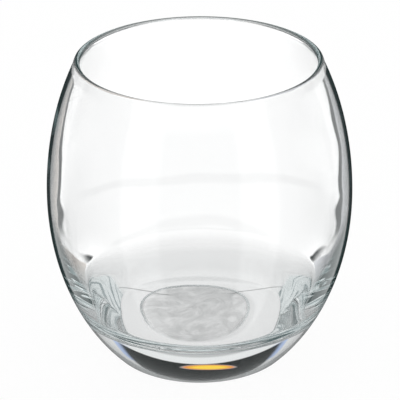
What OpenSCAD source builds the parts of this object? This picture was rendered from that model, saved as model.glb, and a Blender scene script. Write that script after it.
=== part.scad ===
// Stemless wine glass: a barrel-shaped tumbler, pressed and blown in one piece of clear soda-lime glass.
// The origin is the centre of the foot, on the surface that the glass stands on.
// +Z is up, along the axis of revolution. All sizes are in millimetres.

/* [Body] */
// Height from the table to the top of the lip
height = 90; // [80:0.5:105]
// Outside diameter at the belly, the widest place
belly_d = 88; // [80:0.5:96]
// Height of the belly above the table
belly_z = 48.5; // [42:0.5:56]
// Outside diameter that the body's curve has narrowed to at the top of the lip
mouth_d = 69; // [60:0.5:76]
// Outside diameter that the body's curve has narrowed to at the table
foot_d = 51.5; // [46:0.5:60]

/* [Wall] */
// Thickness of the wall just under the lip
lip_wall = 1.2; // [0.8:0.1:2.4]
// Thickness of the wall at the belly
belly_wall = 1.3; // [0.9:0.1:3]
// Thickness of the wall where it turns into the floor
base_wall = 2.5; // [1.6:0.1:5]
// How far the fire-polished bead of the lip stands out from each face of the wall
lip_bulge = 0.25; // [0.05:0.05:0.5]
// Height over which the wall swells into that bead
bead_h = 3; // [2.5:0.1:5]

/* [Bowl] */
// Height of the inside floor above the table, on the axis
floor_z = 12.5; // [8:0.5:18]
// Radius of the floor's shallow dish
dish_r = 200; // [80:5:600]
// Radius of the corner between the dish and the wall
corner_r = 8.5; // [3:0.5:14]

/* [Foot] */
// Radius that rounds the heel, between the body and the standing ring
heel_r = 2; // [1:0.1:3]
// Height of the punt, the shallow hollow under the base
punt_h = 1; // [0.7:0.1:4]
// Diameter of the flat dome that roofs the punt
dome_d = 33.5; // [24:0.5:38]
// How much higher the dome is in the middle than at its edge
dome_rise = 0.3; // [0.1:0.1:0.5]
// Steepness in degrees of the slope from the standing ring up to the dome
punt_slope = 45; // [35:1:60]
// Radius that rounds the edge between the dome and that slope
dome_edge_r = 0.6; // [0.2:0.1:1]
// Radius that rounds the edge between that slope and the standing ring
ring_edge_r = 0.6; // [0.2:0.1:1]

/* [Hidden] */
glass_colour = [0.86, 0.93, 0.93, 0.35];
// Straight steps in the section of a long curve, and of a short one
curve_steps = 14;
fillet_steps = 5;

belly_r = belly_d / 2;
lip_r = lip_wall / 2 + lip_bulge;

// Rise of the two half-ellipses that meet at the belly and make the outside of the body
upper_rise = (height - belly_z) / sqrt(1 - pow(mouth_d / belly_d, 2));
lower_rise = belly_z / sqrt(1 - pow(foot_d / belly_d, 2));

// The outside of the body at an angle round its ellipse: 0 at the belly, more above it, less below
function rise(angle) = angle < 0 ? lower_rise : upper_rise;
function outside(angle) = [belly_r * cos(angle), belly_z + rise(angle) * sin(angle)];
function normal(angle) = let (v = [rise(angle) * cos(angle), belly_r * sin(angle)]) v / norm(v);
function slope(angle) = direction(normal(angle));
function inset(angle, depth) = outside(angle) - depth * normal(angle);
function direction(v) = atan2(v[1], v[0]);

// The angle from low to high at which a test of it turns positive, found by halving the interval
function turning(test, low, high, halvings = 32) =
    let (middle = (low + high) / 2)
    halvings == 0 ? middle
    : test(middle) < 0 ? turning(test, middle, high, halvings - 1)
    : turning(test, low, middle, halvings - 1);
function angle_at(z, depth, low, high) = turning(function (a) inset(a, depth)[1] - z, low, high);

// Centre of the dish, and where the corner fits between the dish and the wall
dish = [0, floor_z + dish_r];
corner_angle = turning(
    function (a) dish_r - corner_r - norm(inset(a, base_wall + corner_r) - dish), -90, 0);
corner = inset(corner_angle, base_wall + corner_r);
corner_end = direction(corner - dish);

heel_angle = angle_at(heel_r, heel_r, -90, 0);
bead_angle = angle_at(height - bead_h, lip_wall / 2, 0, 90);
lip_angle = angle_at(height - lip_r, lip_wall / 2, 0, 90);

// 0 to 1 with a level start and a level end
function ease(t) = (1 - cos(180 * min(max(t, 0), 1))) / 2;
function swell(angle) = lip_bulge * ease((angle - bead_angle) / (lip_angle - bead_angle));
function wall(angle) = angle > 0
    ? belly_wall + (lip_wall - belly_wall) * ease(angle / lip_angle)
    : belly_wall + (base_wall - belly_wall) * ease(angle / corner_angle);

// Angles from one to another in equal steps, and points of an arc between them, without the first
function angles(from, to, steps) = [for (i = [1 : steps]) from + (to - from) * i / steps];
function arc(centre, r, from, to) =
    [for (a = angles(from, to, fillet_steps)) centre + r * [cos(a), sin(a)]];

// The punt: its dome, the rounded edge of the dome, and the slope down to the standing ring
dome_r = (pow(dome_d / 2, 2) + pow(dome_rise, 2)) / (2 * dome_rise);
dome_angle = asin(dome_d / 2 / dome_r);
dome_centre = [0, punt_h - dome_r];
dome_edge = dome_centre + (dome_r - dome_edge_r) * [sin(dome_angle), cos(dome_angle)];
slope_top = dome_edge + dome_edge_r * [sin(punt_slope), cos(punt_slope)];
slope_bottom_z = ring_edge_r * (1 - cos(punt_slope));
slope_bottom_r = slope_top[0] + (slope_top[1] - slope_bottom_z) / tan(punt_slope);
ring_edge = [slope_bottom_r + ring_edge_r * sin(punt_slope), ring_edge_r];

function underside() = concat(
    [[0, punt_h]],
    arc(dome_centre, dome_r, 90, 90 - dome_angle),
    arc(dome_edge, dome_edge_r, 90 - dome_angle, 90 - punt_slope),
    [[slope_bottom_r, slope_bottom_z]],
    arc(ring_edge, ring_edge_r, 270 - punt_slope, 270),
    [[inset(heel_angle, heel_r)[0], 0]]);

function body() = concat(
    arc(inset(heel_angle, heel_r), heel_r, -90, slope(heel_angle)),
    [for (a = angles(heel_angle, 0, curve_steps)) outside(a)],
    [for (a = angles(0, bead_angle, curve_steps)) outside(a)]);

function lip() = concat(
    [for (a = angles(bead_angle, lip_angle, fillet_steps)) inset(a, -swell(a))],
    arc(inset(lip_angle, lip_wall / 2), lip_r, slope(lip_angle), slope(lip_angle) + 90),
    arc(inset(lip_angle, lip_wall / 2), lip_r, slope(lip_angle) + 90, slope(lip_angle) + 180),
    [for (a = angles(lip_angle, bead_angle, fillet_steps)) inset(a, wall(a) + swell(a))]);

function inside() = concat(
    [for (a = angles(bead_angle, 0, curve_steps)) inset(a, wall(a))],
    [for (a = angles(0, corner_angle, curve_steps)) inset(a, wall(a))],
    arc(corner, corner_r, slope(corner_angle), corner_end),
    arc(dish, dish_r, corner_end, -90));

// The whole glass: its section turned round the axis
module glass() {
    color(glass_colour)
        rotate_extrude($fn = 180)
            polygon(concat(underside(), body(), lip(), inside()));
}

glass();
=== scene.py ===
"""A stemless wine glass: one piece of clear glass, turned from its section, with its studio."""

import math

import bpy
from mathutils import Matrix, Vector, noise


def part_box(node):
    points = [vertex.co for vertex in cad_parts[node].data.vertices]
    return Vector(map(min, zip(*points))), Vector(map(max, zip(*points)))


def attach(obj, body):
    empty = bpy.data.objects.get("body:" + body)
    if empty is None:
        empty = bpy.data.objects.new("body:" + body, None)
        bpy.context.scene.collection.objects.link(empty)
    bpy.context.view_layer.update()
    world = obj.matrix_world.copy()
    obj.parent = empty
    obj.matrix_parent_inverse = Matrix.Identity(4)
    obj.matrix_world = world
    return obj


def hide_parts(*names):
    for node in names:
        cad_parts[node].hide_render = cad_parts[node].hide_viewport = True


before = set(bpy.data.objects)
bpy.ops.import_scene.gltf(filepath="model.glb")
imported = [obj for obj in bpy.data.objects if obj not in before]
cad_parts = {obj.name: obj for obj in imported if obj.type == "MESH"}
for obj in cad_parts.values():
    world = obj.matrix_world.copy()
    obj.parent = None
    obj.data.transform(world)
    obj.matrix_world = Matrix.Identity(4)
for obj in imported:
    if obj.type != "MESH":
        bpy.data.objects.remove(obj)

bl_info = {
    "name": "Stemless Wine Glass",
    "version": (1, 0, 0),
    "blender": (4, 5, 0),
    "location": "View3D > Sidebar > Glass",
    "description": "Makes a stemless wine glass in clear glass, and the studio it stands in",
    "category": "Add Mesh",
}

MM = 0.001
DEGREES = 180 / math.pi
NODE = "glass"
BODY = "root"
CAD_LOW, CAD_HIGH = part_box(NODE)
CAD_HEIGHT = CAD_HIGH[2] - CAD_LOW[2]
CAD_WIDTH = CAD_HIGH[0] - CAD_LOW[0]
WHITE = (1, 1, 1)
BLACK = (0, 0, 0)
# A ray's count of reflections or refractions is over these when it is at least one, or two
ONE = 0.5
TWO = 1.5


# ---------------------------------------------------------------- shader maths


class Socket:
    """A node's output, for use in Python expressions: each one adds the Math node that it needs."""

    def __init__(self, shader, socket):
        self.shader = shader
        self.socket = socket

    def math(self, operation, *others):
        """A Math node on this number."""
        return self.shader.node("ShaderNodeMath", {"operation": operation}, self, *others).out()

    def __add__(self, other):
        return self.math("ADD", other)

    def __radd__(self, other):
        return self.math("ADD", other)

    def __sub__(self, other):
        return self.math("SUBTRACT", other)

    def __rsub__(self, other):
        return (self * -1.0).math("ADD", other)

    def __mul__(self, other):
        return self.math("MULTIPLY", other)

    def __rmul__(self, other):
        return self.math("MULTIPLY", other)

    def __truediv__(self, other):
        return self.math("DIVIDE", other)

    def __gt__(self, other):
        return self.math("GREATER_THAN", other)

    def __lt__(self, other):
        return self.math("LESS_THAN", other)

    def step(self, low, high):
        """0 below low, 1 above high, and a smooth rise between them."""
        settings = {"interpolation_type": "SMOOTHSTEP"}
        return self.shader.node("ShaderNodeMapRange", settings, self, low, high, 0.0, 1.0).out()

    def band(self, low, high, soft):
        """1 from low to high, fading to 0 over soft on each side."""
        return self.step(low - soft, low) * (1.0 - self.step(high, high + soft))

    def pick(self, first, second):
        """A number between two others: the first where this is 0, the second where it is 1."""
        return first + self * (second - first)

    def mix(self, first, second):
        """A colour between two others: the first where this is 0, the second where it is 1."""
        node = self.shader.node("ShaderNodeMix", {"data_type": "RGBA"})
        node.fill(Factor=self, A=first, B=second)
        return node.out("Result")


class Node:
    """A shader node, with a short way to fill its inputs and to take its outputs."""

    def __init__(self, shader, node):
        self.shader = shader
        self.node = node

    def put(self, socket, value):
        """Link an input to another node, or set its value."""
        if isinstance(value, Socket):
            self.shader.tree.links.new(value.socket, socket)
        elif socket.type == "RGBA" and len(value) == 3:
            socket.default_value = (*value, 1.0)
        else:
            socket.default_value = value

    def fill(self, *values, **named):
        """Fill inputs in their order, and by name with _ for each space."""
        for socket, value in zip(self.node.inputs, values):
            self.put(socket, value)
        for name, value in named.items():
            shown = [s for s in self.node.inputs if s.enabled and s.name == name.replace("_", " ")]
            self.put(shown[0], value)
        return self

    def out(self, name=None):
        """The output of this name, or the first."""
        shown = [s for s in self.node.outputs if s.enabled and name in (None, s.name)]
        return Socket(self.shader, shown[0])


class Shader:
    """The node tree of a material or of the world."""

    def __init__(self, owner):
        owner.use_nodes = True
        self.tree = owner.node_tree
        self.tree.nodes.clear()

    def node(self, kind, settings=None, *values, **named):
        """A new node: its settings are set first, and then its inputs are filled."""
        made = self.tree.nodes.new(kind)
        for name, value in (settings or {}).items():
            setattr(made, name, value)
        return Node(self, made).fill(*values, **named)

    def either(self, factor, first, second):
        """A Mix Shader: the first shader where factor is 0, the second where it is 1."""
        return self.node("ShaderNodeMixShader", {}, factor, first, second).out()

    def vector(self, operation, *values, **named):
        """A Vector Math node."""
        return self.node("ShaderNodeVectorMath", {"operation": operation}, *values, **named)

    def parts(self, vector):
        """The X, Y and Z of a vector."""
        split = self.node("ShaderNodeSeparateXYZ", {}, vector)
        return [split.out(name) for name in "XYZ"]

    def noise(self, vector, w, detail):
        """Noise of scale 1 in four dimensions, so that it also changes along w."""
        noise_4d = self.node("ShaderNodeTexNoise", {"noise_dimensions": "4D"})
        return noise_4d.fill(Vector=vector, W=w, Scale=1.0, Detail=detail).out("Fac")


# ---------------------------------------------------------------- sizes and finishes


def length(name, about, millimetres, low, high):
    """A length property in metres, given here in millimetres."""
    return bpy.props.FloatProperty(
        name=name,
        description=about,
        default=millimetres * MM,
        min=low * MM,
        max=high * MM,
        precision=5,
        unit="LENGTH",
        subtype="DISTANCE",
    )


def angle(name, about, degrees, low, high):
    """An angle property in radians, given here in degrees."""
    return bpy.props.FloatProperty(
        name=name,
        description=about,
        default=math.radians(degrees),
        min=math.radians(low),
        max=math.radians(high),
        subtype="ANGLE",
    )


def number(name, about, value, low, high):
    """A plain number property."""
    return bpy.props.FloatProperty(name=name, description=about, default=value, min=low, max=high)


def share(name, about, value):
    """A property from 0 to 1."""
    return bpy.props.FloatProperty(
        name=name,
        description=about,
        default=value,
        min=0.0,
        max=1.0,
        subtype="FACTOR",
    )


def colour(name, about, red, green, blue):
    """A colour property."""
    return bpy.props.FloatVectorProperty(
        name=name,
        description=about,
        default=(red, green, blue),
        size=3,
        min=0.0,
        max=1.0,
        subtype="COLOR",
    )


class GlassSizes(bpy.types.PropertyGroup):
    """The section of the glass. Its height and its width at the belly come from the frame."""

    belly_height: length("Belly height", "Height of the widest place", 48.5, 42, 56)
    mouth_width: length("Mouth width", "Diameter the body's curve has narrowed to at the lip", 69, 60, 76)
    foot_width: length("Foot width", "Diameter the body's curve has narrowed to at the table", 51.5, 46, 60)
    lip_wall: length("Lip wall", "Thickness of the wall just under the lip", 1.2, 0.8, 2.4)
    belly_wall: length("Belly wall", "Thickness of the wall at the belly", 1.3, 0.9, 3)
    base_wall: length("Base wall", "Thickness of the wall where it turns into the floor", 2.5, 1.6, 5)
    lip_bulge: length("Lip bulge", "How far the lip's bead stands out from each face", 0.25, 0.05, 0.5)
    bead_height: length("Bead height", "Height over which the wall swells into the bead", 3, 2.5, 5)
    floor_height: length("Floor height", "Height of the inside floor on the axis", 12.5, 8, 18)
    dish_radius: length("Dish radius", "Radius of the floor's shallow dish", 200, 80, 600)
    corner_radius: length("Corner radius", "Radius between the dish and the wall", 8.5, 3, 14)
    heel_radius: length("Heel radius", "Radius between the body and the standing ring", 2, 1, 3)
    punt_height: length("Punt height", "Height of the hollow under the base", 1, 0.7, 4)
    dome_width: length("Dome width", "Diameter of the flat dome that roofs the punt", 33.5, 24, 38)
    dome_rise: length("Dome rise", "How much higher the dome is in the middle", 0.3, 0.1, 0.5)
    punt_slope: angle("Punt slope", "Steepness from the standing ring up to the dome", 45, 35, 60)
    dome_edge: length("Dome edge radius", "Radius between the dome and the slope", 0.6, 0.2, 1)
    ring_edge: length("Ring edge radius", "Radius between the slope and the standing ring", 0.6, 0.2, 1)
    punt_shift: length("Punt shift", "How far the mould left the punt off the axis, along X", -1.9, -3, 3)
    ripple: length("Ripple", "Height of the slow waves in the inside surface", 0.07, 0, 0.2)
    draw: length("Draw lines", "Height of the fine rings in the corner of the bowl", 0.035, 0, 0.1)


class GlassFinish(bpy.types.PropertyGroup):
    """The glass itself. The dome of the punt and the slope round it are dull where the mould touched them,
    and the dome's mottled grey is painted shade: the shaded table seen through the punt.
    """

    tint: colour("Tint", "Colour that the glass lets through where it is thick", 0.50, 0.82, 0.85)
    density: number("Density", "How strongly the tint shows, per metre of glass", 1.0, 0.0, 100.0)
    ior: number("IOR", "Index of refraction of soda-lime glass", 1.52, 1.4, 1.7)
    # Painted shade: the dome's mottled grey stands in for the shaded table seen through the punt
    punt_shade_dark: colour("Cloud, dark", "What the dome lets through where it is dullest", 0.52, 0.52, 0.52)
    punt_shade_pale: colour("Cloud, pale", "What the dome lets through where it is clearest", 0.90, 0.90, 0.90)
    cloud_blur: share("Cloud blur", "Roughness of the dome where it is dullest", 0.2)
    bank_blur: share("Bank blur", "Roughness of the slope round the dome", 0.3)
    # Painted light: the glass glows by emission in place of light carried round by many inner reflections,
    # brighter at the back of the lip
    painted_glow: colour("Glow", "Light that clear glass gathers over many inner reflections", 0.055, 0.088, 0.088)
    painted_lip_glow: colour("Lip glow", "The same light at the back of the lip", 1.0, 1.0, 1.0)
    painted_glow_strength: share("Glow strength", "Strength of the gathered light", 0.04)


class StudioSetup(bpy.types.PropertyGroup):
    """The camera and the light."""

    distance: length("Distance", "From the camera to the point that it aims at", 600, 300, 2000)
    aim_side: length("Aim side", "How far the point that the camera aims at lies off the axis", 0.1, -10, 10)
    aim_height: length("Aim height", "Height of the point that the camera aims at", 46.1, 0, 90)
    pitch: angle("Pitch", "How far the camera looks down", 24.86, 0, 90)
    roll: angle("Roll", "How far the camera leans to its right", 0.38, -10, 10)
    lens: number("Lens", "Focal length in millimetres, on a 36 mm frame", 186.7, 20.0, 400.0)
    lamp_core: colour("Lamp, core", "Colour of the middle of the lamp", 1.0, 0.68, 0.06)
    lamp_edge: colour("Lamp, edge", "Colour of the lamp towards its edge", 0.75, 0.18, 0.03)
    lamp_tips: colour("Tips", "Colour of the light at both ends of the tent's dark gap", 0.55, 0.68, 1.0)
    left_panel: colour("Left panel", "Tint of the light strip on the left", 1.0, 0.93, 0.88)
    right_panel: colour("Right panel", "Tint of the light strip on the right", 0.95, 0.96, 1.0)


# ---------------------------------------------------------------- the section


def ease(t):
    """0 to 1 with a level start and a level end."""
    return (1 - math.cos(math.pi * min(max(t, 0), 1))) / 2


def turning(test, low, high, halvings=48):
    """The place from low to high at which a test of it turns positive, found by halving the interval."""
    for _ in range(halvings):
        middle = (low + high) / 2
        if test(middle) < 0:
            low = middle
        else:
            high = middle
    return (low + high) / 2


def steps(low, high, count):
    """Equal steps from low to high, without low."""
    return [low + (high - low) * i / count for i in range(1, count + 1)]


def polar(angle):
    """The unit vector at an angle."""
    return Vector((math.cos(angle), math.sin(angle)))


def arc(centre, radius, low, high, count):
    """Points of an arc, without the first."""
    return [centre + radius * polar(a) for a in steps(low, high, count)]


def direction(v):
    """The angle of a vector."""
    return math.atan2(v.y, v.x)


class Section:
    """The glass's section: radius and height, from the axis underneath round the lip to the axis inside."""

    UP, DOWN = math.pi / 2, 1.5 * math.pi
    # Being over 1, this power makes the wall thicken late on its way from the belly to the corner
    LATE = 1.4
    # How many straight steps each stretch of the section has
    STEPS = {
        "dome": 20,
        "edge": 6,
        "slope": 3,
        "ring": 8,
        "heel": 14,
        "body": 60,
        "bead": 16,
        "lip": 24,
        "wall": 150,
        "corner": 24,
        "dish": 16,
    }

    def __init__(self, sizes):
        self.s = s = sizes
        self.upper = (CAD_HEIGHT - s.belly_height) / math.sqrt(1 - (s.mouth_width / CAD_WIDTH) ** 2)
        self.lower = s.belly_height / math.sqrt(1 - (s.foot_width / CAD_WIDTH) ** 2)
        self.lip_radius = s.lip_wall / 2 + s.lip_bulge
        self.dish = Vector((0, s.floor_height + s.dish_radius))
        self.corner_at = turning(self.corner_room, -self.UP, 0)
        self.heel_at = self.angle_at(s.heel_radius, s.heel_radius, -self.UP, 0)
        self.bead_at = self.angle_at(CAD_HEIGHT - s.bead_height, s.lip_wall / 2, 0, self.UP)
        self.lip_at = self.angle_at(CAD_HEIGHT - self.lip_radius, s.lip_wall / 2, 0, self.UP)

    def rise(self, angle):
        """Height of the half-ellipse that this angle is on: the lower one or the upper one."""
        return self.lower if angle < 0 else self.upper

    def normal(self, angle):
        """The direction that the outside of the body faces."""
        return Vector((self.rise(angle) * math.cos(angle), CAD_WIDTH / 2 * math.sin(angle))).normalized()

    def inset(self, angle, depth):
        """The outside of the body at an angle round its ellipse, moved inwards by depth."""
        x, z = polar(angle)
        outside = Vector((CAD_WIDTH / 2 * x, self.s.belly_height + self.rise(angle) * z))
        return outside - depth * self.normal(angle)

    def angle_at(self, z, depth, low, high):
        """The angle at which the outside, moved inwards by depth, has the height z."""
        return turning(lambda a: self.inset(a, depth).y - z, low, high)

    def slope(self, angle):
        """The angle of the direction that the outside faces."""
        return direction(self.normal(angle))

    def corner_room(self, angle):
        """How far the corner, set against the wall at this angle, would still be from the dish."""
        s = self.s
        centre = self.inset(angle, s.base_wall + s.corner_radius)
        return s.dish_radius - s.corner_radius - (centre - self.dish).length

    def wall(self, angle):
        """Thickness of the wall."""
        s = self.s
        if angle > 0:
            return s.belly_wall + (s.lip_wall - s.belly_wall) * ease(angle / self.lip_at)
        return s.belly_wall + (s.base_wall - s.belly_wall) * ease(angle / self.corner_at) ** self.LATE

    def swell(self, angle):
        """How far the bead of the lip stands out."""
        return self.s.lip_bulge * ease((angle - self.bead_at) / (self.lip_at - self.bead_at))

    def underside(self):
        """The flat dome, its rounded edge, the slope, and the standing ring."""
        s, up, down, count = self.s, self.UP, self.DOWN, self.STEPS
        dome = ((s.dome_width / 2) ** 2 + s.dome_rise**2) / (2 * s.dome_rise)
        turn = math.asin(s.dome_width / 2 / dome)
        centre = Vector((0, s.punt_height - dome))
        edge = centre + (dome - s.dome_edge) * polar(up - turn)
        top = edge + s.dome_edge * polar(up - s.punt_slope)
        bottom_z = s.ring_edge * (1 - math.cos(s.punt_slope))
        bottom_r = top.x + (top.y - bottom_z) / math.tan(s.punt_slope)
        ring = Vector((bottom_r + s.ring_edge * math.sin(s.punt_slope), s.ring_edge))
        ring_out = self.inset(self.heel_at, s.heel_radius).x
        return (
            [Vector((0, s.punt_height))]
            + arc(centre, dome, up, up - turn, count["dome"])
            + arc(edge, s.dome_edge, up - turn, up - s.punt_slope, count["edge"])
            + [top.lerp(Vector((bottom_r, bottom_z)), t) for t in steps(0, 1, count["slope"])]
            + arc(ring, s.ring_edge, down - s.punt_slope, down, count["edge"])
            + [Vector((x, 0)) for x in steps(ring.x, ring_out, count["ring"])]
        )

    def body(self):
        """The rounded heel, and the outside up to the bead of the lip."""
        radius, count = self.s.heel_radius, self.STEPS
        heel = self.inset(self.heel_at, radius)
        return arc(heel, radius, -self.UP, self.slope(self.heel_at), count["heel"]) + [
            self.inset(a, 0) for a in steps(self.heel_at, self.bead_at, count["body"])
        ]

    def lip(self):
        """The bead of the lip: its outer face, the round top, and its inner face."""
        count = self.STEPS
        middle = self.inset(self.lip_at, self.s.lip_wall / 2)
        top = self.slope(self.lip_at)
        climb = steps(self.bead_at, self.lip_at, count["bead"])
        fall = steps(self.lip_at, self.bead_at, count["bead"])
        return (
            [self.inset(a, -self.swell(a)) for a in climb]
            + arc(middle, self.lip_radius, top, top + math.pi, count["lip"])
            + [self.inset(a, self.wall(a) + self.swell(a)) for a in fall]
        )

    def inside(self):
        """The wall down to the corner, the corner, and the dished floor."""
        s, count = self.s, self.STEPS
        corner = self.inset(self.corner_at, s.base_wall + s.corner_radius)
        end = direction(corner - self.dish)
        return (
            [self.inset(a, self.wall(a)) for a in steps(self.bead_at, self.corner_at, count["wall"])]
            + arc(corner, s.corner_radius, self.slope(self.corner_at), end, count["corner"])
            + arc(self.dish, s.dish_radius, end, -self.UP, count["dish"])
        )


# ---------------------------------------------------------------- the glass


class GLASS_OT_tumbler(bpy.types.Operator):
    """Turn the glass's section round its axis"""

    bl_idname = "glass.tumbler"
    bl_label = "Glass"

    SEGMENTS = 240
    # The waves and rings grow from nothing on the axis to their full height at this radius
    STEADY_RADIUS = 22 * MM
    # Size of the slow waves: round the glass, as the radius of a circle in the noise, and up the wall
    WAVE_TURNS = 2.2
    WAVE_HEIGHT = 14 * MM
    # Distance between the fine rings, and the height at which they start to fade, in floor heights
    RING_PITCH = 1.8 * MM
    RING_FADE = 0.9

    def execute(self, context):
        self.sizes = context.scene.glass_sizes
        section = Section(self.sizes)
        self.under = len(section.underside())
        self.still = self.under + len(section.body() + section.lip())
        self.points = section.underside() + section.body() + section.lip() + section.inside()
        verts, faces = self.turned()
        mesh = bpy.data.meshes.new("Blown_glass")
        mesh.from_pydata(verts, [], faces)
        mesh.shade_smooth()
        mesh.validate()
        piece = bpy.data.objects.new("Blown_glass", mesh)
        context.scene.collection.objects.link(piece)
        piece.data.materials.append(clear_glass(self.sizes, context.scene.glass_finish))
        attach(piece, BODY)
        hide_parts(NODE)
        return {"FINISHED"}

    def turned(self):
        """The points and faces of the section, turned once round the axis."""
        last = len(self.points) - 1
        verts, faces, rings = [], [], []
        for k in range(last + 1):
            turns = [0.0] if k in (0, last) else steps(0, 2 * math.pi, self.SEGMENTS)
            rings.append([len(verts) + i for i in range(len(turns))] * (self.SEGMENTS // len(turns)))
            verts += [self.place(k, turn) for turn in turns]
        for k, (a, b) in enumerate(zip(rings, rings[1:])):
            for i in range(self.SEGMENTS):
                j = (i + 1) % self.SEGMENTS
                if k == 0:
                    faces.append((a[i], b[j], b[i]))
                elif k == last - 1:
                    faces.append((a[i], a[j], b[i]))
                else:
                    faces.append((a[i], a[j], b[j], b[i]))
        return verts, faces

    def place(self, k, turn):
        """Where a point of the section lies when it is turned, with the punt's shift or the ripples."""
        x, z = self.points[k]
        shift = 0.0
        if k < self.under:
            ring_in = self.sizes.dome_width / 2 + self.sizes.punt_height
            ring_out = self.points[self.under - 1].x
            shift = self.sizes.punt_shift * (1 - ease((x - ring_in) / (ring_out - ring_in)))
        elif self.still <= k < len(self.points) - 1:
            before, after = self.points[k - 1], self.points[k + 1]
            out = Vector((after.y - before.y, before.x - after.x)).normalized()
            x, z = self.points[k] + out * self.ripple(turn, x, z)
        return x * math.cos(turn) + shift, x * math.sin(turn), z

    def ripple(self, turn, x, z):
        """How far the inside surface lies off its section: slow waves all over, and fine rings low down."""
        s = self.sizes
        around = self.WAVE_TURNS * polar(turn)
        wave = s.ripple * noise.noise(Vector((around.x, around.y, z / self.WAVE_HEIGHT)))
        along = math.hypot(x - CAD_WIDTH / 2, z - CAD_WIDTH / 2) / self.RING_PITCH
        rings = s.draw * noise.noise(Vector((around.x, around.y, along)))
        rings *= 1 - ease(z / s.floor_height - self.RING_FADE)
        return (wave + rings) * ease(x / self.STEADY_RADIUS)


# The soft edge of the clouded parts, and how far past the dome's edge the cloud reaches
SOFT_EDGE = 0.5 * MM
CLOUD_PAST = 0.4 * MM
# What lies lower than this many times the punt's height is part of the underside
UNDER = 1.05
# The cloud is noise in cells of about 9 mm with fine detail, spread over its middle range
CLOUD = {"Scale": 110.0, "Detail": 7.0, "Roughness": 0.68, "Distortion": 1.6}
CLOUD_RANGE = (0.34, 0.66)
# Where the lip's painted glow sets in: up the wall, and towards the back as a share of the radius
LIP_RANGE = (CAD_HEIGHT - 12 * MM, CAD_HEIGHT - 4 * MM)
BACK_RANGE = (0.35, 0.95)


def clear_glass(sizes, finish):
    """Clear soda-lime glass with a faint blue-green body, dull under the base where the mould touched it,
    with painted shade in the dome's mottled grey and a painted glow in its emission.
    """
    material = bpy.data.materials.new("Clear_glass")
    shader = Shader(material)
    place = shader.node("ShaderNodeTexCoord").out("Object")
    x, y, z = shader.parts(shader.vector("SUBTRACT", place, (sizes.punt_shift, 0, 0)).out())
    radius = (x * x + y * y).math("SQRT")

    rim = sizes.dome_width / 2
    cloud_end = rim + CLOUD_PAST
    bank_end = rim + sizes.punt_height
    under = z < sizes.punt_height * UNDER
    dome = (1.0 - radius.step(cloud_end, cloud_end + SOFT_EDGE)) * under
    bank = radius.step(rim - SOFT_EDGE, rim) * (1.0 - radius.step(bank_end, bank_end + SOFT_EDGE)) * under

    flat = shader.vector("MULTIPLY", place, (1, 1, 0)).out()
    cloud = shader.node("ShaderNodeTexNoise", {}, flat, **CLOUD).out("Fac").step(*CLOUD_RANGE)
    # Painted shade: a mottled grey in the dome's colour for the shaded table seen through the punt
    painted_punt_shade = cloud.mix(tuple(finish.punt_shade_dark), tuple(finish.punt_shade_pale))
    blur = dome * (1.0 - cloud) * finish.cloud_blur + bank * finish.bank_blur
    # Painted light: emission that makes the glass glow, white at the back of the lip and faint blue-green
    # elsewhere
    lip = z.step(*LIP_RANGE) * (y / radius).step(*BACK_RANGE)
    painted_glow = lip.mix(tuple(finish.painted_glow), tuple(finish.painted_lip_glow))

    surface = shader.node("ShaderNodeBsdfPrincipled")
    surface.fill(Base_Color=dome.mix(WHITE, painted_punt_shade), Roughness=blur, IOR=finish.ior, Transmission_Weight=1.0)
    surface.fill(Emission_Color=painted_glow, Emission_Strength=finish.painted_glow_strength)
    volume = shader.node("ShaderNodeVolumeAbsorption")
    volume.fill(Color=tuple(finish.tint), Density=finish.density)
    shader.node("ShaderNodeOutputMaterial", {}, surface.out(), volume.out())
    return material


# ---------------------------------------------------------------- the studio


class GLASS_OT_camera(bpy.types.Operator):
    """Put the camera at the photograph's place"""

    bl_idname = "glass.camera"
    bl_label = "Camera"

    FRAME_WIDTH = 36
    NEAREST = 0.01
    FARTHEST = 20

    def execute(self, context):
        studio = context.scene.glass_studio
        data = bpy.data.cameras.new("Camera")
        data.lens = studio.lens
        data.sensor_width = self.FRAME_WIDTH
        data.clip_start = self.NEAREST
        data.clip_end = self.FARTHEST
        camera = bpy.data.objects.new("Camera", data)
        aim = Vector((studio.aim_side, 0, studio.aim_height))
        back = Vector((0, -math.cos(studio.pitch), math.sin(studio.pitch)))
        camera.location = aim + back * studio.distance
        turn = (-back).to_track_quat("-Z", "Y").to_matrix() @ Matrix.Rotation(-studio.roll, 3, "Z")
        camera.rotation_euler = turn.to_euler()
        context.scene.collection.objects.link(camera)
        context.scene.camera = camera
        return {"FINISHED"}


class GLASS_OT_studio(bpy.types.Operator):
    """Make the white floor and the light round the glass"""

    bl_idname = "glass.studio"
    bl_label = "Studio"

    FLOOR_RADIUS = 3.0
    FLOOR_SIDES = 96
    FLOOR_GAP = 0.1 * MM
    # How often a ray may be bent or reflected: thick glass needs many
    BOUNCES = 24
    REFLECTIONS = 16

    def execute(self, context):
        scene = context.scene
        scene.view_settings.view_transform = "Standard"
        scene.cycles.max_bounces = self.BOUNCES
        scene.cycles.transmission_bounces = self.BOUNCES
        scene.cycles.glossy_bounces = self.REFLECTIONS
        bpy.ops.mesh.primitive_circle_add(
            vertices=self.FLOOR_SIDES,
            radius=self.FLOOR_RADIUS,
            fill_type="NGON",
            location=(0, 0, -self.FLOOR_GAP),
        )
        floor = context.object
        floor.name = "Floor"
        floor.data.materials.append(white_floor())
        light_tent(scene)
        return {"FINISHED"}


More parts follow.
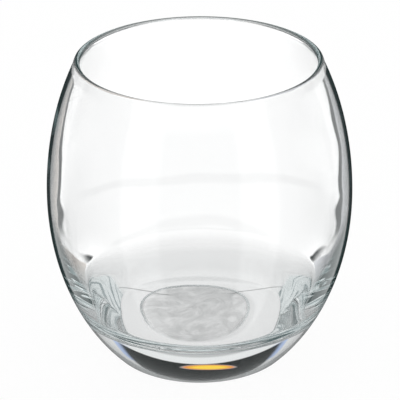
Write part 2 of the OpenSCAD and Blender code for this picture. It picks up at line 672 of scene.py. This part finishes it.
class FloorTones:
    """How bright the floor looks through the glass, at distances from the axis in metres, with the glass's
    shadow painted into it.
    """

    # Painted shadow under the punt, and under the standing ring
    PUNT_EDGE = (0.0170, 0.0182)
    PUNT_SHADOW = 0.80
    RING_SHADOW = 0.92
    # Painted shadow: under the heel it gets darker by this, and towards the open table it gets lighter by
    # this
    HEEL_EDGE = (0.027, 0.032)
    HEEL_SHADOW = 0.06
    OPEN_EDGE = (0.034, 0.085)
    OPEN = 0.33
    # A thin dark line behind the disc, on both sides of it, along y = LINE_START + LINE_BEND * x * x
    LINE_START = 0.0106
    LINE_BEND = 4.0
    LINE_HALF = 0.0001
    LINE_SOFT = 0.0004
    LINE_ENDS = (0.008, 0.011)
    LINE_DEPTH = 0.6
    # Painted streaks and glints in what the inside of the glass reflects of the floor near it, and the plain
    # tone farther out
    STREAK_SCALE = 30.0
    STREAK_RINGS = 1400.0
    STREAK_DETAIL = 2.0
    STREAK_RANGE = (0.48, 0.53)
    STREAK_EDGE = (0.030, 0.042)
    STREAK_DARK = 0.0
    STREAK_BRIGHT = 1.25
    FAR_TONE = 0.5
    # How much darker the floor is in what the outside of the glass reflects
    OUTER_DIM = 0.9
    # The emission's strength, which is also the brightest tone
    STRENGTH = 1.25
    # The camera sees this share of plain white, and the rest of it shows the shadow
    PLAIN = 0.94
    PAPER = (0.98, 0.98, 0.98)
    # Rays bent or reflected by the glass pass the floor from here on, and meet the tent
    END = (0.044, 0.060)


def white_floor():
    """A white table. The camera sees a faint shadow on it, and rays from the glass see a light of its own, an
    emission with painted shadow and painted streaks and glints in it.
    """
    material = bpy.data.materials.new("White_floor")
    shader = Shader(material)
    path = shader.node("ShaderNodeLightPath")
    place = shader.node("ShaderNodeTexCoord").out("Object")
    away = shader.vector("LENGTH", place).out("Value")
    bent = path.out("Is Transmission Ray").math("MAXIMUM", path.out("Is Glossy Ray"))
    tone = (floor_tone(shader, path, place, away) / FloorTones.STRENGTH).mix(BLACK, WHITE)
    painted_glow = shader.node("ShaderNodeEmission", {}, tone, FloorTones.STRENGTH).out()
    paper = shader.node("ShaderNodeBsdfDiffuse", {}, FloorTones.PAPER).out()
    white = shader.node("ShaderNodeEmission", {}, WHITE, 1.0).out()
    clear = shader.node("ShaderNodeBsdfTransparent").out()
    near = shader.either(path.out("Is Camera Ray") * FloorTones.PLAIN, paper, white)
    near = shader.either(bent, near, painted_glow)
    far = away.step(*FloorTones.END)
    shader.node("ShaderNodeOutputMaterial", {}, shader.either(bent * far, near, clear))
    return material


def floor_tone(shader, path, place, away):
    """The floor's brightness for a ray that comes from the glass: painted shadow under the glass, and painted
    streaks and glints in what the glass reflects.
    """
    tones = FloorTones
    inside = path.out("Transmission Depth") > ONE
    bounced = (path.out("Glossy Depth") > ONE) * inside
    outer = path.out("Is Glossy Ray") * (1.0 - inside)
    # Painted shadow of the glass on the floor: darker under the punt and the heel, lighter towards the open
    # table
    shade = away.step(*tones.PUNT_EDGE).pick(tones.PUNT_SHADOW, tones.RING_SHADOW)
    shade = shade - away.step(*tones.HEEL_EDGE) * tones.HEEL_SHADOW + away.step(*tones.OPEN_EDGE) * tones.OPEN

    x, y, _ = shader.parts(place)
    off = y - x * x * tones.LINE_BEND - tones.LINE_START
    line = off.band(-tones.LINE_HALF, tones.LINE_HALF, tones.LINE_SOFT)
    line = line * x.math("ABSOLUTE").step(*tones.LINE_ENDS)
    shade = shade * (1.0 - line * tones.LINE_DEPTH)

    slow = shader.vector("SCALE", place, Scale=tones.STREAK_SCALE).out()
    # Painted reflection: dark streaks and bright glints on the floor, seen only in the glass's inner
    # reflections
    painted_streaks = shader.noise(slow, away * tones.STREAK_RINGS, tones.STREAK_DETAIL).step(*tones.STREAK_RANGE)
    ring = 1.0 - away.step(*tones.STREAK_EDGE)
    streaks = ring.pick(tones.FAR_TONE, painted_streaks.pick(tones.STREAK_DARK, tones.STREAK_BRIGHT))
    return shade * bounced.pick(1.0, streaks) * (1.0 - outer * tones.OUTER_DIM)


class Tent:
    """The light that the glass sees, as a function of the direction that a ray takes when it leaves it.

    Angles are in degrees. Up is above the horizon. Around is 0 straight behind the glass, and side is the
    angle from the nearest of four directions: behind the glass, before it, and to its left and right.
    A pair of angles is where a smooth step starts and ends. A third number is how softly a band ends.
    """

    EIGHTH = 45.0
    QUARTER = 90.0

    # Rays that the glass has reflected see a bright sky above a dark ground. They meet seams in the sky
    # from their second reflection on, and the ground gets paler for them from the second to the sixth
    DEEP = (2.0, 6.0)
    RISE_ONCE = (-20.0, 30.0)
    RISE = (-1.0, 5.0)
    GROUND = (0.026, 0.028, 0.030)
    GROUND_DEEP = (0.15, 0.21, 0.215)
    SKY_ONCE = (0.42, 0.42, 0.42)
    SEAM_RINGS = 0.22
    SEAM_DETAIL = 2.0
    SEAM_RANGE = (0.50, 0.56)
    SEAM_PALE = (0.84, 0.86, 0.86)
    SEAM_DARK = (0.28, 0.32, 0.33)
    # A pale stretch straight behind and before the glass
    AHEAD_EDGE = (5.0, 11.0)
    AHEAD = (0.80, 0.80, 0.80)
    # The outside of the glass reflects black round each of the four directions, and white between them
    GLEAM = (27.0, 33.0)

    # Rays that the glass has only bent. The lower part of the tent is for those that point down
    LOW = (-6.0, -2.0)
    # The dark line beside the light strip in each side wall, which lies farther out above the fold
    FOLD = (-28.2, -25.5)
    LINE_BELOW = 8.8
    LINE_ABOVE = 11.4
    LINE_HALF = 0.7
    LINE_FOOT = (-30.8, -28.6)
    LINE_DEPTH = 0.95
    # The strip itself, outside the line, and how much it is dimmed low down and higher up
    STRIP_EDGE = (0.6, 1.4)
    STRIP_RISE = (-33.0, -28.0)
    STRIP_BELOW = 0.5
    STRIP_ABOVE = 0.3
    # A thin arch in the back wall, above the base
    ARCH = (-26.4, -26.0, 0.3)
    ARCH_ENDS = (4.0, 6.0)
    ARCH_DEPTH = 0.06
    # The plain level, and how much it rises to the sides of the lower part
    LEVEL = 1.13
    SIDE_EDGE = (4.0, 10.0)
    SIDE_RISE = 0.45
    # From one height to another, the level goes from the first factor to the second
    HEIGHTS = ((-2.0, 4.0, 1.0, 0.50), (12.0, 13.5, 1.0, 1.60), (-40.0, -26.0, 0.86, 1.0))
    # The dark gap that makes the crescent in the base, and the tip of light at each end of it
    GAP = (18.0, 62.0, 1.0)
    GAP_ENDS = (31.0, 36.0)
    TIP = (19.0, 30.0, 3.0)
    TIP_SIDE = (30.0, 36.0, 3.0)
    # The lamp is a bent ellipse low in the gap
    LAMP_AROUND = -3.5
    LAMP_UP = 20.4
    LAMP_WIDE = 11.5
    LAMP_HIGH = 2.6
    BEND_AROUND = 0.5
    BEND = 0.018
    LAMP_LEVEL = 1.15
    LAMP_FADE = (0.4, 1.0)
    LAMP_EDGE = (0.8, 1.1)
    # Only the part of the tent behind the glass is tinted
    TINTED = (37.0, 43.0)

    def __init__(self, shader, studio):
        self.shader = shader
        self.studio = studio
        self.path = shader.node("ShaderNodeLightPath")
        self.way = shader.node("ShaderNodeTexCoord").out("Generated")
        x, y, z = shader.parts(self.way)
        self.around = x.math("ARCTAN2", y) * DEGREES
        self.side = self.around.math("PINGPONG", self.EIGHTH)
        self.up = z.math("ARCSINE") * DEGREES
        self.reflections = self.path.out("Glossy Depth")
        self.low = 1.0 - self.up.step(*self.LOW)

    def reflected(self):
        """The colour that a ray sees which the glass has reflected, inside it or from its outside."""
        again = self.reflections > TWO
        deep = self.reflections.step(*self.DEEP)
        rising = again.pick(self.up.step(*self.RISE_ONCE), self.up.step(*self.RISE))
        seams = self.shader.noise(self.way, self.up * self.SEAM_RINGS, self.SEAM_DETAIL)
        seams = seams.step(*self.SEAM_RANGE).mix(self.SEAM_PALE, self.SEAM_DARK)
        sky = again.mix(self.SKY_ONCE, seams)
        inner = rising.mix(deep.mix(self.GROUND, self.GROUND_DEEP), sky)
        ahead = 1.0 - self.around.math("PINGPONG", self.QUARTER).step(*self.AHEAD_EDGE)
        inner = (ahead * (1.0 - deep) * again).mix(inner, self.AHEAD)
        outer = self.side.step(*self.GLEAM).mix(BLACK, WHITE)
        return (self.path.out("Transmission Depth") > ONE).mix(outer, inner)

    def lamp(self):
        """How far a ray lies from the middle of the lamp: 1 at the lamp's edge."""
        off = self.around - self.BEND_AROUND
        bent = off * off * self.BEND + self.LAMP_UP
        wide = (self.around - self.LAMP_AROUND) / self.LAMP_WIDE
        high = (self.up - bent) / self.LAMP_HIGH
        return (wide * wide + high * high).math("SQRT")

    def through(self):
        """The colour and the level that a ray sees which the glass has only bent."""
        up, side, low, studio = self.up, self.side, self.low, self.studio
        off = side - up.step(*self.FOLD).pick(self.LINE_BELOW, self.LINE_ABOVE)
        line = off.band(-self.LINE_HALF, self.LINE_HALF, self.LINE_HALF) * up.step(*self.LINE_FOOT) * low
        strip = off.step(*self.STRIP_EDGE) * (1.0 - line) * low
        arch = up.band(*self.ARCH) * (1.0 - side.step(*self.ARCH_ENDS)) * self.ARCH_DEPTH

        level = self.LEVEL + side.step(*self.SIDE_EDGE) * self.SIDE_RISE * low
        level = level * (1.0 - line * self.LINE_DEPTH)
        level = level * (1.0 - strip * up.step(*self.STRIP_RISE).pick(self.STRIP_BELOW, self.STRIP_ABOVE))
        level = level * (1.0 - arch)
        for start, end, before, after in self.HEIGHTS:
            level = level * up.step(start, end).pick(before, after)
        gap = up.band(*self.GAP) * (1.0 - side.step(*self.GAP_ENDS))

        lamp = self.lamp()
        lit = 1.0 - lamp.step(*self.LAMP_EDGE)
        warm = lamp.step(*self.LAMP_FADE).mix(tuple(studio.lamp_core), tuple(studio.lamp_edge))
        tinted = 1.0 - self.around.math("ABSOLUTE").step(*self.TINTED)
        panel = (self.around > 0.0).mix(tuple(studio.left_panel), tuple(studio.right_panel))
        tip = up.band(*self.TIP) * side.band(*self.TIP_SIDE) * tinted
        plain = tip.mix((strip * tinted).mix(WHITE, panel), tuple(studio.lamp_tips))
        return lit.mix(plain, warm), lit.pick(level * (1.0 - gap), self.LAMP_LEVEL)


def light_tent(scene):
    """White all round for the camera and for the table, and the tent's light for the glass."""
    world = bpy.data.worlds.new("Tent")
    scene.world = world
    shader = Shader(world)
    tent = Tent(shader, scene.glass_studio)
    straight = tent.reflections < ONE
    tinted, level = tent.through()
    seen = straight.mix(tent.reflected(), tinted)
    strength = straight.pick(1.0, level)
    plain = (tent.path.out("Diffuse Depth") > ONE).math("MAXIMUM", tent.path.out("Is Camera Ray"))
    light = shader.node("ShaderNodeBackground", {}, plain.mix(seen, WHITE), plain.pick(strength, 1.0)).out()
    shader.node("ShaderNodeOutputWorld", {}, light)


# ---------------------------------------------------------------- the add-on


class GLASS_PT_panel(bpy.types.Panel):
    """The glass's sizes, finish and studio"""

    bl_label = "Stemless Wine Glass"
    bl_idname = "GLASS_PT_panel"
    bl_space_type = "VIEW_3D"
    bl_region_type = "UI"
    bl_category = "Glass"

    def draw(self, context):
        for name in GROUPS:
            box = self.layout.box()
            group = getattr(context.scene, name)
            for prop in group.__annotations__:
                box.prop(group, prop)
        for operator in OPERATORS:
            self.layout.operator(operator.bl_idname)


GROUPS = {"glass_sizes": GlassSizes, "glass_finish": GlassFinish, "glass_studio": StudioSetup}
OPERATORS = (GLASS_OT_camera, GLASS_OT_tumbler, GLASS_OT_studio)


def register():
    for group in GROUPS.values():
        bpy.utils.register_class(group)
    for cls in (*OPERATORS, GLASS_PT_panel):
        bpy.utils.register_class(cls)
    for name, group in GROUPS.items():
        setattr(bpy.types.Scene, name, bpy.props.PointerProperty(type=group))


def unregister():
    for name in GROUPS:
        delattr(bpy.types.Scene, name)
    for cls in reversed((*GROUPS.values(), *OPERATORS, GLASS_PT_panel)):
        bpy.utils.unregister_class(cls)


def main():
    register()
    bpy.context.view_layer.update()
    bpy.ops.glass.camera()
    bpy.ops.glass.tumbler()
    bpy.ops.glass.studio()


if __name__ == "__main__":
    main()
